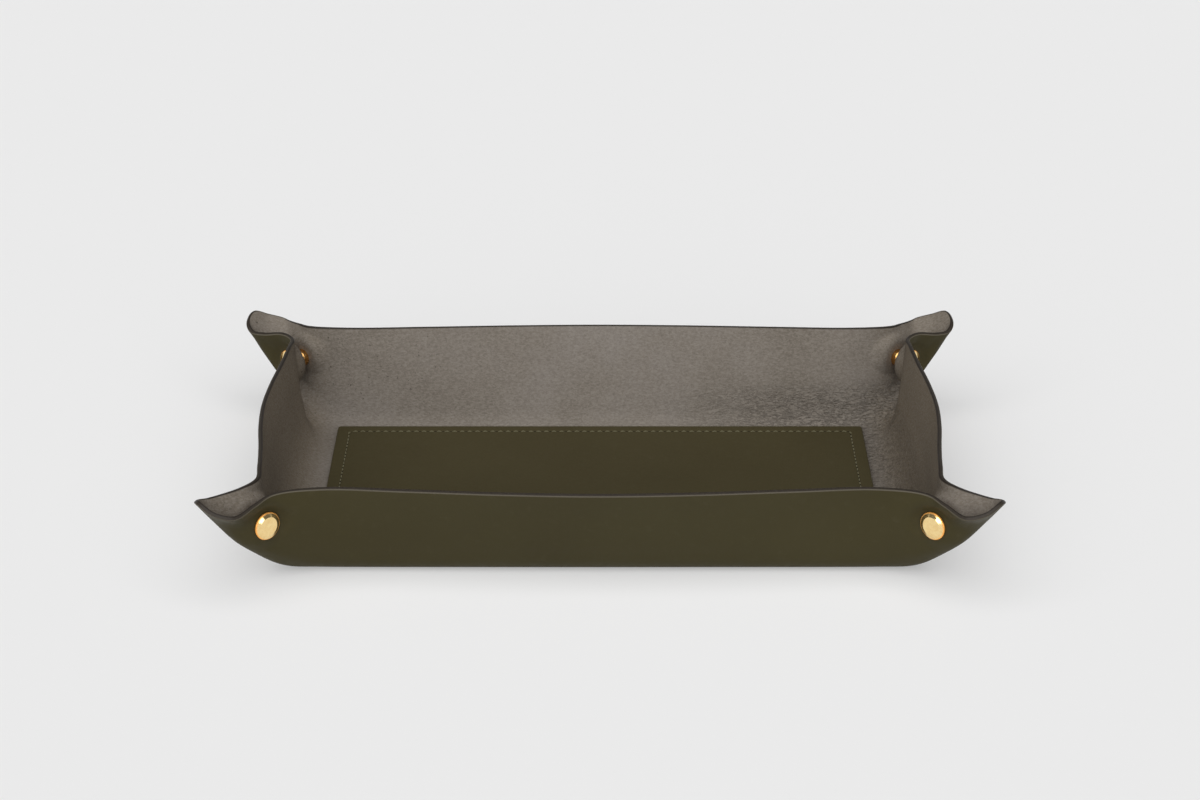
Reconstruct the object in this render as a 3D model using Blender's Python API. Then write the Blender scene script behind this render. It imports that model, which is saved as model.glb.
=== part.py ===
# A leather desk tray: one sheet of leather with a stitched pad on its floor. Each corner is pinched
# into an open beak, and a press stud through both layers of the pinch holds it.
# Metres, +Z up. The origin is on the ground under the middle of the tray.
# The long walls face -Y (front) and +Y (back), the short walls face -X (left) and +X (right).

import math

import bmesh
import bpy
import numpy as np
from mathutils import Matrix, Vector

mm = 0.001

# The leather sheet, folded up
base_length = 260 * mm
base_width = 140 * mm
wall_height = 46 * mm
long_wall_flare = 24.2 * mm
short_wall_flare = 24 * mm
wall_end_draw_in = 5.6 * mm
wall_end_lift = 0.8 * mm
bend_radius = 6 * mm
leather_thickness = 2 * mm

# The beak at each corner: how far it stands out past the corner of the base
beak_reach = 41.8 * mm
beak_spread = 42 * mm

# The pad on the floor, inside the bends of the walls, and its stitching
pad_end_margin = 4 * mm
pad_side_margin = 2 * mm
pad_length = base_length - 2 * pad_end_margin
pad_width = base_width - 2 * pad_side_margin
pad_corner_radius = 3 * mm
pad_thickness = 2 * mm
stitch_inset = 5.9 * mm
stitch_corner_radius = 1.5 * mm
thread_width = 0.7 * mm
thread_height = 0.4 * mm
thread_sink = 0.1 * mm

# The press studs
cap_radius = 6.25 * mm
cap_face_radius = 4.25 * mm
cap_height = 1.6 * mm
cap_rim_height = 0.7 * mm
post_radius = 1.5 * mm
layer_gap = 6 * mm
socket_radius = 4.2 * mm
socket_mouth_radius = 3.7 * mm
socket_bore_radius = 2.35 * mm
socket_bore_depth = 2.8 * mm
spring_wire = 0.66 * mm
spring_gap_angle = math.radians(34)
stud_head_radius = 2 * mm
stud_neck_radius = 1.75 * mm
stud_base_radius = 3.9 * mm
stud_base_height = 0.9 * mm
stud_height = 3.7 * mm
stud_tip_radius = 1.2 * mm
stud_recess_depth = 0.5 * mm
fade_width = 5 * mm
seat_margin = 1.5 * mm

# Room between pieces that touch, and how far a cutter runs past what it cuts
clearance = 0.3 * mm
overrun = 1 * mm

# The snap's middle, as shares of the beak's reach, its spread and the wall's height
snap_place_shares = (0.38, 0.417, 0.672)
pinch_angle = math.radians(42)

# The beak's outer surface as loops, from the floor up. Each point is given as shares of the
# beak's reach along X, its spread along Y and the wall's height, from the corner of the base.
# The points run from the long wall's neck over the snap, the belly, the shoulder and the top
# of the beak to its tip, then back along the other layer to the short wall's neck.
beak_loop_shares = (
    ((-0.45, 0, 0), (-0.3, 0, 0), (-0.2, -0.006, 0), (-0.13, -0.028, 0), (-0.085, -0.058, 0),
     (-0.055, -0.092, 0), (-0.032, -0.132, 0), (-0.012, -0.19, 0), (0, -0.28, 0), (0, -0.4, 0)),
    ((-0.28, 0.125, 0.078), (-0.09, 0.14, 0.078), (0.04, 0.15, 0.072), (0.12, 0.154, 0.066),
     (0.17, 0.14, 0.063), (0.195, 0.115, 0.062), (0.195, 0.08, 0.064), (0.18, 0.035, 0.067),
     (0.152, -0.045, 0.072), (0.128, -0.19, 0.078)),
    ((-0.142, 0.221, 0.265), (0.09, 0.295, 0.26), (0.245, 0.355, 0.27), (0.345, 0.375, 0.28),
     (0.415, 0.355, 0.29), (0.445, 0.31, 0.3), (0.427, 0.262, 0.298), (0.37, 0.2, 0.29),
     (0.275, 0.105, 0.278), (0.18, -0.048, 0.265)),
    ((0.036, 0.365, 0.525), (0.273, 0.455, 0.51), (0.415, 0.565, 0.5), (0.54, 0.585, 0.51),
     (0.63, 0.54, 0.525), (0.665, 0.472, 0.535), (0.63, 0.415, 0.535), (0.56, 0.385, 0.53),
     (0.415, 0.275, 0.53), (0.31, 0.06, 0.525)),
    ((0.142, 0.47, 0.763), (0.335, 0.52, 0.75), (0.509, 0.67, 0.739), (0.67, 0.71, 0.75),
     (0.8, 0.652, 0.765), (0.848, 0.56, 0.765), (0.79, 0.49, 0.755), (0.655, 0.452, 0.748),
     (0.475, 0.34, 0.763), (0.385, 0.138, 0.765)),
    ((0.213, 0.54, 1), (0.367, 0.71, 0.96), (0.569, 0.94, 0.92), (0.794, 0.945, 0.97),
     (0.945, 0.85, 1.04), (1, 0.67, 0.99), (0.94, 0.505, 0.943), (0.785, 0.412, 0.948),
     (0.569, 0.324, 0.989), (0.44, 0.155, 1.005)),
)

# The beak's tip is the point in the middle of each loop. The pinch opens about the keel of the
# third loop, which lies under the press stud.
tip_point = len(beak_loop_shares[0]) // 2
keel_loop_shares = beak_loop_shares[2]

# The height of each loop along the plain walls, above the bend, as a share of what is left there
wall_level_shares = (0, 0.198, 0.481, 0.74, 1)

# Where the plain walls have their own points, as shares of the way from the middle to the neck
wall_point_shares = (0, 0.3, 0.6, 0.86)

# Steps of the surface between the loops and between the points of a loop
level_steps = (2, 2, 3, 4, 3)
long_wall_steps = (1, 1, 1, 2)
beak_steps = (3, 3, 2, 1, 2, 2, 1, 3, 3)
short_wall_steps = (2, 1, 1, 1)
corner_steps = 3
cap_steps = 20
turned_steps = 16
wire_steps = 6

corners = {
    "front_left": (-1, -1),
    "front_right": (1, -1),
    "back_left": (-1, 1),
    "back_right": (1, 1),
}

leather_colour = (0.05, 0.042, 0.024)
pad_colour = (0.055, 0.046, 0.027)
thread_colour = (0.14, 0.125, 0.07)
brass_colour = (0.83, 0.56, 0.2)
spring_colour = (0.6, 0.58, 0.55)


def clear_scene():
    for thing in list(bpy.data.objects):
        bpy.data.objects.remove(thing, do_unlink=True)


def make_material(name, colour, roughness, metallic):
    material = bpy.data.materials.new(name)
    material.use_nodes = True
    shader = material.node_tree.nodes["Principled BSDF"]
    shader.inputs["Base Color"].default_value = (*colour, 1)
    shader.inputs["Roughness"].default_value = roughness
    shader.inputs["Metallic"].default_value = metallic
    return material


def add_object(name, mesh_source, material, smooth_angle):
    mesh = bpy.data.meshes.new(name)
    bmesh.ops.recalc_face_normals(mesh_source, faces=mesh_source.faces[:])
    mesh_source.to_mesh(mesh)
    mesh_source.free()
    mesh.shade_smooth()
    mesh.set_sharp_from_angle(angle=smooth_angle)
    thing = bpy.data.objects.new(name, mesh)
    bpy.context.scene.collection.objects.link(thing)
    if material:
        thing.data.materials.append(material)
    return thing


def add_empty(name, place, direction):
    # An empty whose own Z runs along the direction given
    empty = bpy.data.objects.new(name, None)
    bpy.context.scene.collection.objects.link(empty)
    empty.matrix_world = frame_along(place, direction)
    return empty


def frame_along(place, direction):
    turn = Vector(direction).to_track_quat("Z", "Y").to_matrix().to_4x4()
    return Matrix.Translation(Vector(place)) @ turn


def spline_row(points, steps, start_mirror, end_mirror):
    # A smooth row through the points, with the steps given between each two of them. The two
    # mirrors say on which axis the row is reflected past its ends, so the halves meet smoothly.
    points = [np.array(p, float) for p in points]
    whole = [points[1] * start_mirror, *points, points[-2] * end_mirror]
    row = []
    for i, count in enumerate(steps):
        p0, p1, p2, p3 = whole[i : i + 4]
        d01 = max(np.linalg.norm(p1 - p0) ** 0.5, 1e-6)
        d12 = max(np.linalg.norm(p2 - p1) ** 0.5, 1e-6)
        d23 = max(np.linalg.norm(p3 - p2) ** 0.5, 1e-6)
        m1 = p2 - p1 + d12 * ((p1 - p0) / d01 - (p2 - p0) / (d01 + d12))
        m2 = p2 - p1 + d12 * ((p3 - p2) / d23 - (p3 - p1) / (d12 + d23))
        for k in range(count):
            t = k / count
            row.append(
                (2 * t**3 - 3 * t**2 + 1) * p1
                + (t**3 - 2 * t**2 + t) * m1
                + (3 * t**2 - 2 * t**3) * p2
                + (t**3 - t**2) * m2
            )
    row.append(points[-1])
    return row


def bowed(section_point, share):
    # A wall bows out in its middle. Towards its necks it is drawn in and stands a little higher.
    out, up = section_point
    drawn = math.sin(share * math.pi / 2) ** 2 * up / wall_height
    return out - wall_end_draw_in * drawn, up + wall_end_lift * drawn


def wall_section(flare):
    # The wall's offset and height at each loop: nothing, the end of the bend, then the plain wall
    lean = wall_lean(flare)
    bend_out = bend_radius * math.cos(lean)
    bend_up = bend_radius * (1 - math.sin(lean))
    section = [(0, 0)]
    for share in wall_level_shares:
        section.append((
            bend_out + share * (flare - bend_out),
            bend_up + share * (wall_height - bend_up),
        ))
    return section


def wall_lean(flare):
    # The angle between the wall and the vertical that brings its rim out by the flare
    lean = math.atan2(flare, wall_height)
    for _ in range(30):
        out = bend_radius * math.cos(lean)
        up = bend_radius * (1 - math.sin(lean))
        lean = math.atan2(flare - out, wall_height - up)
    return lean


def beak_point(shares):
    return np.array((
        base_length / 2 + shares[0] * beak_reach,
        base_width / 2 + shares[1] * beak_spread,
        shares[2] * wall_height,
    ))


def quarter_loops():
    # The outer surface over one quarter of the tray, as one row of points for each loop
    loops = []
    long_section = wall_section(long_wall_flare)
    short_section = wall_section(short_wall_flare)
    for level, shares in enumerate(beak_loop_shares):
        beak = [beak_point(s) for s in shares]
        points = []
        for share in wall_point_shares:
            out, up = bowed(long_section[level], share)
            points.append((share * beak[0][0], base_width / 2 + out, up))
        points += beak
        for share in reversed(wall_point_shares):
            out, up = bowed(short_section[level], share)
            points.append((base_length / 2 + out, share * beak[-1][1], up))
        steps = (*long_wall_steps, *beak_steps, *short_wall_steps)
        loops.append(spline_row(points, steps, (-1, 1, 1), (1, -1, 1)))
    return loops


def quarter_surface():
    # The loops joined upwards, with the arc of the bend kept round between the first two
    loops = quarter_loops()
    columns = []
    for i in range(len(loops[0])):
        points = [loop[i] for loop in loops]
        below = points[0] - (points[1] - points[0]) * (1, 1, 0)
        columns.append(upward_row(points, below))
    return np.array(columns).swapaxes(0, 1)


def upward_row(points, below):
    whole = [below, *points]
    row = []
    for i, count in enumerate(level_steps):
        p0, p1, p2 = whole[i : i + 3]
        p3 = whole[i + 3] if i + 3 < len(whole) else 2 * p2 - p1
        m1 = tangent(p0, p1, p2) * np.linalg.norm(p2 - p1)
        m2 = tangent(p1, p2, p3) * np.linalg.norm(p2 - p1)
        for k in range(count):
            t = k / count
            row.append(
                (2 * t**3 - 3 * t**2 + 1) * p1
                + (t**3 - 2 * t**2 + t) * m1
                + (3 * t**2 - 2 * t**3) * p2
                + (t**3 - t**2) * m2
            )
    row.append(points[-1])
    return row


def tangent(before, here, after):
    first = np.linalg.norm(here - before)
    second = np.linalg.norm(after - here)
    way = (here - before) / first * second + (after - here) / second * first
    return way / (first + second)


def snap_middle():
    return beak_point(snap_place_shares)


def snap_direction():
    # Out of the long wall's layer, square to the pinch
    return np.array((-math.sin(pinch_angle), math.cos(pinch_angle), 0))


def flatten_at_snap(surface, tip_column, distance):
    # Both layers of the pinch lie flat under the caps, square to the snap
    middle = snap_middle()
    direction = snap_direction()
    seat = cap_radius + seat_margin
    for row in surface:
        for i, point in enumerate(row):
            side = 1 if i < tip_column else -1
            along = (point - middle) @ direction
            away = np.linalg.norm(point - middle - along * direction)
            share = min(max((seat + fade_width - away) / fade_width, 0), 1)
            share = share * share * (3 - 2 * share)
            row[i] = point + share * (side * distance - along) * direction


def offset_inwards(surface):
    # The inner face of the leather, one thickness inside the outer one
    mirrored_left = surface[:, 1] * (-1, 1, 1)
    mirrored_right = surface[:, -2] * (1, -1, 1)
    wide = np.concatenate([mirrored_left[:, None], surface, mirrored_right[:, None]], axis=1)
    across = wide[:, 2:] - wide[:, :-2]
    upward = np.gradient(surface, axis=0)
    upward[0] = surface[1] - surface[0]
    upward[0, :, 2] = 0
    normal = np.cross(across, upward)
    normal /= np.linalg.norm(normal, axis=2, keepdims=True)
    if normal[-1, 0, 1] > 0:
        normal = -normal
    normal[0] = (0, 0, 1)
    return surface + leather_thickness * normal


def whole_surface(quarter):
    # The quarter mirrored into the other three, as closed rows all round the tray
    right_front = quarter[:, ::-1] * (1, -1, 1)
    left_front = quarter * (-1, -1, 1)
    left_back = quarter[:, ::-1] * (-1, 1, 1)
    parts = (quarter[:, :-1], right_front[:, :-1], left_front[:, :-1], left_back[:, :-1])
    return np.concatenate(parts, axis=1)


def make_leather(material):
    tip_column = sum(long_wall_steps) + sum(beak_steps[:tip_point])
    outer = quarter_surface()
    flatten_at_snap(outer, tip_column, layer_gap / 2 + leather_thickness)
    inner = offset_inwards(outer)
    flatten_at_snap(inner, tip_column, layer_gap / 2)
    mesh = bmesh.new()
    outer_rows = [[mesh.verts.new(p) for p in row] for row in whole_surface(outer)]
    inner_rows = [[mesh.verts.new(p) for p in row] for row in whole_surface(inner)]
    bridge_rows(mesh, outer_rows)
    bridge_rows(mesh, inner_rows)
    bridge_rows(mesh, [outer_rows[-1], inner_rows[-1]])
    mesh.faces.new(outer_rows[0])
    mesh.faces.new(inner_rows[0])
    leather = add_object("leather_body", mesh, material, math.radians(40))
    groove = thread_loops(0, thread_height + thread_sink + clearance, clearance)
    groove = cutter_ring("bottom_stitch_groove", groove, -overrun)
    cut(leather, groove)
    for name in corners:
        hole = turned_object(
            name + "_hole_cutter", hole_profile(), turned_steps, None, snap_frame(name)
        )
        make_cutter(hole)
        cut(leather, hole)
    return leather


def hole_profile():
    reach = layer_gap / 2 + leather_thickness + overrun
    radius = post_radius + clearance
    return [(0, reach), (radius, reach), (radius, -reach), (0, -reach)]


def bridge_rows(mesh, rows):
    for low, high in zip(rows, rows[1:]):
        count = len(low)
        for i in range(count):
            mesh.faces.new((low[i], low[(i + 1) % count], high[(i + 1) % count], high[i]))


def rounded_rectangle(length, width, radius, height):
    points = []
    for quarter, (sx, sy) in enumerate(((1, 1), (-1, 1), (-1, -1), (1, -1))):
        centre = (sx * (length / 2 - radius), sy * (width / 2 - radius))
        for step in range(corner_steps + 1):
            angle = (quarter + step / corner_steps) * math.pi / 2
            points.append((
                centre[0] + radius * math.cos(angle),
                centre[1] + radius * math.sin(angle),
                height,
            ))
    return points


def thread_loops(bottom, top, room):
    # The four edges of a ring along the line of stitching, from the outer bottom one
    half = thread_width / 2 + room
    length = pad_length - 2 * stitch_inset
    width = pad_width - 2 * stitch_inset
    loops = []
    for side, height in ((half, bottom), (half, top), (-half, top), (-half, bottom)):
        radius = stitch_corner_radius + side
        loops.append(rounded_rectangle(length + 2 * side, width + 2 * side, radius, height))
    return loops


def ring_object(name, loops, material):
    mesh = bmesh.new()
    rows = [[mesh.verts.new(p) for p in loop] for loop in loops]
    bridge_rows(mesh, [*rows, rows[0]])
    return add_object(name, mesh, material, math.radians(40))


def cutter_ring(name, loops, opening):
    # A ring that cuts a groove: its open side is moved past the surface
    for i in (0, 3):
        loops[i] = [(x, y, opening) for x, y, _ in loops[i]]
    ring = ring_object(name, loops, None)
    make_cutter(ring)
    return ring


def make_cutter(thing):
    thing.hide_render = True
    thing.display_type = "WIRE"


def cut(thing, cutter):
    modifier = thing.modifiers.new(cutter.name, "BOOLEAN")
    modifier.operation = "DIFFERENCE"
    modifier.object = cutter


def make_pad(material):
    bottom = leather_thickness + clearance
    top = bottom + pad_thickness
    groove_floor = top - thread_sink - thread_height - clearance
    grooves = thread_loops(groove_floor, groove_floor, clearance)
    at_top = thread_loops(top, top, clearance)
    mesh = bmesh.new()
    loops = (
        rounded_rectangle(pad_length, pad_width, pad_corner_radius, bottom),
        rounded_rectangle(pad_length, pad_width, pad_corner_radius, top),
        at_top[0],
        grooves[0],
        grooves[3],
        at_top[3],
    )
    rows = [[mesh.verts.new(p) for p in loop] for loop in loops]
    bridge_rows(mesh, rows)
    mesh.faces.new(rows[0])
    mesh.faces.new(rows[-1])
    return add_object("base_pad", mesh, material, math.radians(40))


def make_stitching(material):
    pad_top = leather_thickness + clearance + pad_thickness
    top = pad_top - thread_sink
    ring_object("pad_stitching_top", thread_loops(top - thread_height, top, 0), material)
    low = thread_sink
    ring_object("pad_stitching_bottom", thread_loops(low, low + thread_height, 0), material)


def snap_frame(corner):
    sx, sy = corners[corner]
    mirror = np.array((sx, sy, 1))
    return frame_along(snap_middle() * mirror, snap_direction() * mirror)


def turned_object(name, profile, steps, material, place):
    # A profile of radius and height turned about the snap's own Z. It starts and ends on the
    # axis, or closes on itself as a ring.
    mesh = bmesh.new()
    rows = []
    closed_ring = profile[0][0] > 0
    for radius, height in profile:
        if radius == 0:
            rows.append([mesh.verts.new((0, 0, height))])
            continue
        rows.append([
            mesh.verts.new((
                radius * math.cos(2 * math.pi * k / steps),
                radius * math.sin(2 * math.pi * k / steps),
                height,
            ))
            for k in range(steps)
        ])
    if closed_ring:
        rows.append(rows[0])
    for low, high in zip(rows, rows[1:]):
        join_rings(mesh, low, high, steps)
    thing = add_object(name, mesh, material, math.radians(35))
    thing.matrix_world = place
    return thing


def join_rings(mesh, low, high, steps):
    for k in range(steps):
        nxt = (k + 1) % steps
        if len(low) == 1:
            mesh.faces.new((low[0], high[nxt], high[k]))
        elif len(high) == 1:
            mesh.faces.new((low[k], low[nxt], high[0]))
        else:
            mesh.faces.new((low[k], low[nxt], high[nxt], high[k]))


def cap_profile(post_end):
    # A flat face with a sloping rim outside, and a post through the leather
    seat = layer_gap / 2 + leather_thickness + clearance
    top = seat + cap_height
    middle_radius = (cap_face_radius + cap_radius) / 2
    slope = cap_height - cap_rim_height
    return [
        (0, top),
        (cap_face_radius, top),
        (middle_radius, top - slope * 0.3),
        (cap_radius, top - slope),
        (cap_radius, seat + cap_rim_height / 3),
        (cap_radius - cap_rim_height / 3, seat),
        (post_radius, seat),
        (post_radius, post_end),
        (0, post_end),
    ]


def socket_profile():
    # A barrel with a stepped bore: the stud's side is wide, with a groove for the spring,
    # and the cap's post comes in through the narrow side
    leather_end = layer_gap / 2 - clearance
    mouth = bore_end() - socket_bore_depth
    groove_low, groove_high = spring_middle() - groove_half(), spring_middle() + groove_half()
    groove_radius = spring_radius() + spring_wire / 2 + clearance
    shoulder = (leather_end + mouth) / 2
    hole_radius = post_radius + clearance
    return [
        (socket_mouth_radius, mouth),
        ((socket_radius + socket_mouth_radius) / 2, (shoulder + mouth) / 2),
        (socket_radius, shoulder),
        (socket_radius, leather_end),
        (hole_radius, leather_end),
        (hole_radius, bore_end()),
        (socket_bore_radius, bore_end()),
        (socket_bore_radius, groove_high),
        (groove_radius, groove_high),
        (groove_radius, groove_low),
        (socket_bore_radius, groove_low),
        (socket_bore_radius, mouth),
    ]


def bore_end():
    # The stud's tip stays one clearance short of the end of the bore
    return stud_foot() + stud_height + clearance


def stud_foot():
    return -layer_gap / 2 + clearance


def spring_middle():
    # The spring closes round the stud's neck, under its head
    return stud_foot() + stud_height - stud_head_radius / 2


def spring_radius():
    return stud_head_radius + clearance + spring_wire / 2


def groove_half():
    return spring_wire / 2 + clearance


def stud_profile():
    foot = stud_foot()
    shelf = foot + stud_base_height
    tip = foot + stud_height
    head = tip - stud_head_radius / 2
    neck = (shelf + head) / 2
    recess_radius = post_radius + clearance
    return [
        (0, foot + stud_recess_depth),
        (recess_radius, foot + stud_recess_depth),
        (recess_radius, foot),
        (stud_base_radius, foot),
        (stud_base_radius, shelf - stud_base_height / 3),
        (stud_base_radius - stud_base_height / 3, shelf),
        (stud_neck_radius, shelf),
        (stud_neck_radius, neck),
        (stud_head_radius, head),
        (stud_tip_radius, tip),
        (0, tip),
    ]


def make_spring(name, place, material):
    # A split ring of wire inside the socket
    turns = 1 - spring_gap_angle / (2 * math.pi)
    mesh = bmesh.new()
    rings = []
    for k in range(turned_steps + 1):
        angle = spring_gap_angle / 2 + 2 * math.pi * turns * k / turned_steps
        ring = []
        for j in range(wire_steps):
            around = 2 * math.pi * j / wire_steps
            radius = spring_radius() + spring_wire / 2 * math.cos(around)
            height = spring_middle() + spring_wire / 2 * math.sin(around)
            ring.append(mesh.verts.new((
                radius * math.cos(angle), radius * math.sin(angle), height,
            )))
        rings.append(ring)
    bridge_rows(mesh, rings)
    mesh.faces.new(rings[0])
    mesh.faces.new(rings[-1])
    spring = add_object(name, mesh, material, math.radians(70))
    spring.matrix_world = place
    return spring


def flip_frame(place):
    # The same place with its Z the other way round
    return place @ Matrix.Rotation(math.pi, 4, "X")


def hinge_line(corner):
    # The pinch opens about the line where its own plane meets the keel of the beak
    mirror = np.array((*corners[corner], 1))
    middle = snap_middle()
    direction = snap_direction()
    foot = beak_point(beak_loop_shares[0][tip_point])
    tip = beak_point(beak_loop_shares[-1][tip_point])
    keel = beak_point(keel_loop_shares[tip_point])
    along = tip - foot - ((tip - foot) @ direction) * direction
    along /= np.linalg.norm(along)
    outward = np.cross(along, direction)
    place = middle + ((keel - middle) @ outward) * outward
    return place * mirror, along * mirror


def hang_on(empty, thing):
    thing.parent = empty
    thing.matrix_parent_inverse = empty.matrix_world.inverted()


def make_snap(corner, brass, steel):
    place = snap_frame(corner)
    hinge_place, hinge_direction = hinge_line(corner)
    pivot = add_empty(corner + "_pinch_axis", hinge_place, hinge_direction)
    cap_post_end = bore_end() + clearance
    back_post_end = -stud_foot() - stud_recess_depth + clearance
    name = corner + "_snap_"
    moving = (
        turned_object(name + "cap", cap_profile(cap_post_end), cap_steps, brass, place),
        turned_object(name + "socket", socket_profile(), turned_steps, brass, place),
        make_spring(name + "spring", place, steel),
    )
    for thing in moving:
        hang_on(pivot, thing)
    turned_object(name + "stud", stud_profile(), turned_steps, brass, place)
    turned_object(
        name + "back_cap", cap_profile(back_post_end), cap_steps, brass, flip_frame(place)
    )


def main():
    clear_scene()
    leather = make_material("olive_leather", leather_colour, 0.6, 0)
    pad = make_material("olive_pad_leather", pad_colour, 0.55, 0)
    thread = make_material("khaki_thread", thread_colour, 0.8, 0)
    brass = make_material("polished_brass", brass_colour, 0.18, 1)
    steel = make_material("spring_steel", spring_colour, 0.3, 1)
    make_leather(leather)
    make_pad(pad)
    make_stitching(thread)
    for corner in corners:
        make_snap(corner, brass, steel)


main()
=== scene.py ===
from math import atan2, cos, pi, radians, sin

import bmesh
import bpy
import numpy as np
from mathutils import Matrix, Vector
from mathutils.bvhtree import BVHTree


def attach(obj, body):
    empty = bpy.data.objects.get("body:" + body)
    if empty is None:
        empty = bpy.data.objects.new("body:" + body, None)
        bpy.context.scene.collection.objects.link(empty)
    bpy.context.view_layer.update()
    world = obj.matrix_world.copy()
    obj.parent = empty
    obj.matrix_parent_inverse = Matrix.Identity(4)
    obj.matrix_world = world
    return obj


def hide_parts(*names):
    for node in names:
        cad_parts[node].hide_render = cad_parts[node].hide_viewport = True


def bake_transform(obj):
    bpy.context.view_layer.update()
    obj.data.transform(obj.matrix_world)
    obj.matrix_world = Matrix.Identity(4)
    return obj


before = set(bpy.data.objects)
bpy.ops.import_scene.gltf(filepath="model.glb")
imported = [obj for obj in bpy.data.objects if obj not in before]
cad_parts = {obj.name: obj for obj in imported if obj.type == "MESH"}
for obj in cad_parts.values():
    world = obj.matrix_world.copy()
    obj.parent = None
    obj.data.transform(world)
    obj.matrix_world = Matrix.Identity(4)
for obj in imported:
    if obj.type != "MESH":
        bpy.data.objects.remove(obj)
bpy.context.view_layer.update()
print("frame loaded,", len(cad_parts), "nodes")

mm = 0.001
norm = np.linalg.norm
corners = {
    "front_left": (-1, -1),
    "front_right": (1, -1),
    "back_left": (-1, 1),
    "back_right": (1, 1),
}


# Small tools for node trees, meshes and objects

def addNode(tree, kind, values=None, **settings):
    made = tree.nodes.new(kind)
    for name, value in settings.items():
        setattr(made, name, value)
    for name, value in (values or {}).items():
        if isinstance(value, bpy.types.NodeSocket):
            tree.links.new(value, made.inputs[name])
        else:
            made.inputs[name].default_value = value
    return made


def addStep(tree, kind, values=None, **settings):
    return addNode(tree, kind, values, **settings).outputs[0]


def addVector(tree, parts):
    return addStep(tree, "ShaderNodeCombineXYZ", parts)


def addMath(tree, operation, first, second=0.0):
    return addStep(tree, "ShaderNodeMath", {0: first, 1: second}, operation=operation)


def times(tree, first, second):
    return addMath(tree, "MULTIPLY", first, second)


def addRange(tree, value, low, high, start=0.0, end=1.0, smooth=True):
    return addStep(tree, "ShaderNodeMapRange", {
        "Value": value, "From Min": low, "From Max": high, "To Min": start, "To Max": end,
    }, interpolation_type="SMOOTHSTEP" if smooth else "LINEAR")


def startTree(name, kind, inputs, outputs):
    # A new group with its sockets: what it is given and what it makes
    tree = bpy.data.node_groups.new(name, kind)
    for label, what, value in inputs:
        socket = tree.interface.new_socket(name=label, in_out="INPUT", socket_type="NodeSocket" + what)
        if value is not None:
            socket.default_value = value
    for label, what in outputs:
        tree.interface.new_socket(name=label, in_out="OUTPUT", socket_type="NodeSocket" + what)
    return tree, tree.nodes.new("NodeGroupInput").outputs, tree.nodes.new("NodeGroupOutput").inputs


def addTones(tree, factor, look):
    # The look's two or three tones, each at its place in the look's toneRange
    tones = [look[name] for name in ("dark", "middle", "light") if name in look]
    ramp = addNode(tree, "ShaderNodeValToRGB", {"Fac": factor})
    elements = ramp.color_ramp.elements
    while len(elements) < len(tones):
        elements.new(0.5)
    for element, place, tone in zip(elements, look["toneRange"], tones):
        element.position, element.color = place, (*tone, 1)
    return ramp.outputs["Color"]


def mixColours(tree, factor, first, second):
    return addNode(
        tree, "ShaderNodeMix", {0: factor, 6: first, 7: (*second, 1)}, data_type="RGBA"
    ).outputs[2]


def addNoise(tree, vector, scale, detail, roughness, distortion=0.0):
    return addStep(tree, "ShaderNodeTexNoise", {
        "Vector": vector, "Scale": scale, "Detail": detail, "Roughness": roughness,
        "Distortion": distortion,
    })


def addMapping(tree, vector, scale=(1.0, 1.0, 1.0), turn=0.0):
    return addStep(tree, "ShaderNodeMapping", {
        "Vector": vector, "Rotation": (0.0, 0.0, turn), "Scale": scale,
    })


def smoothShare(share):
    return share * share * (3 - 2 * share)


def readArray(items, what, kind=float):
    values = np.zeros(len(items) * 3, kind)
    items.foreach_get(what, values)
    return values.reshape(-1, 3)


def addMesh(name, vertices, faces=(), materials=(), edges=()):
    mesh = bpy.data.meshes.new(name)
    mesh.from_pydata([tuple(v) for v in vertices], edges, faces)
    for material in materials:
        mesh.materials.append(material)
    mesh.shade_smooth()
    return addObject(name, mesh)


def addObject(name, data):
    thing = bpy.data.objects.new(name, data)
    bpy.context.scene.collection.objects.link(thing)
    return thing


def addFromWork(name, work):
    mesh = bpy.data.meshes.new(name)
    work.to_mesh(mesh)
    work.free()
    return addObject(name, mesh)


def evaluatedMesh(thing, name):
    graph = bpy.context.evaluated_depsgraph_get()
    mesh = bpy.data.meshes.new_from_object(thing.evaluated_get(graph))
    mesh.name = name
    return mesh


def dropObject(thing):
    bpy.data.objects.remove(thing, do_unlink=True)


# Effects that more than one material uses

def makeGrainGroup():
    # Fine pores, slow changes of tone and, between them in size, a soft unevenness
    tree, given, made = startTree(
        "leatherGrain", "ShaderNodeTree",
        (("Vector", "Vector", None), ("Pore Scale", "Float", 1500.0), ("Cloud Scale", "Float", 14.0)),
        (("Height", "Float"), ("Tone", "Float"), ("Dust", "Float")),
    )
    vector, clouds = given["Vector"], given["Cloud Scale"]
    tree.links.new(addNoise(tree, vector, given["Pore Scale"], 2.0, 0.6), made["Height"])
    tree.links.new(addNoise(tree, vector, clouds, 3.0, 0.5), made["Tone"])
    tree.links.new(addNoise(tree, vector, times(tree, clouds, 16.0), 4.0, 0.65), made["Dust"])
    return tree


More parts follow.
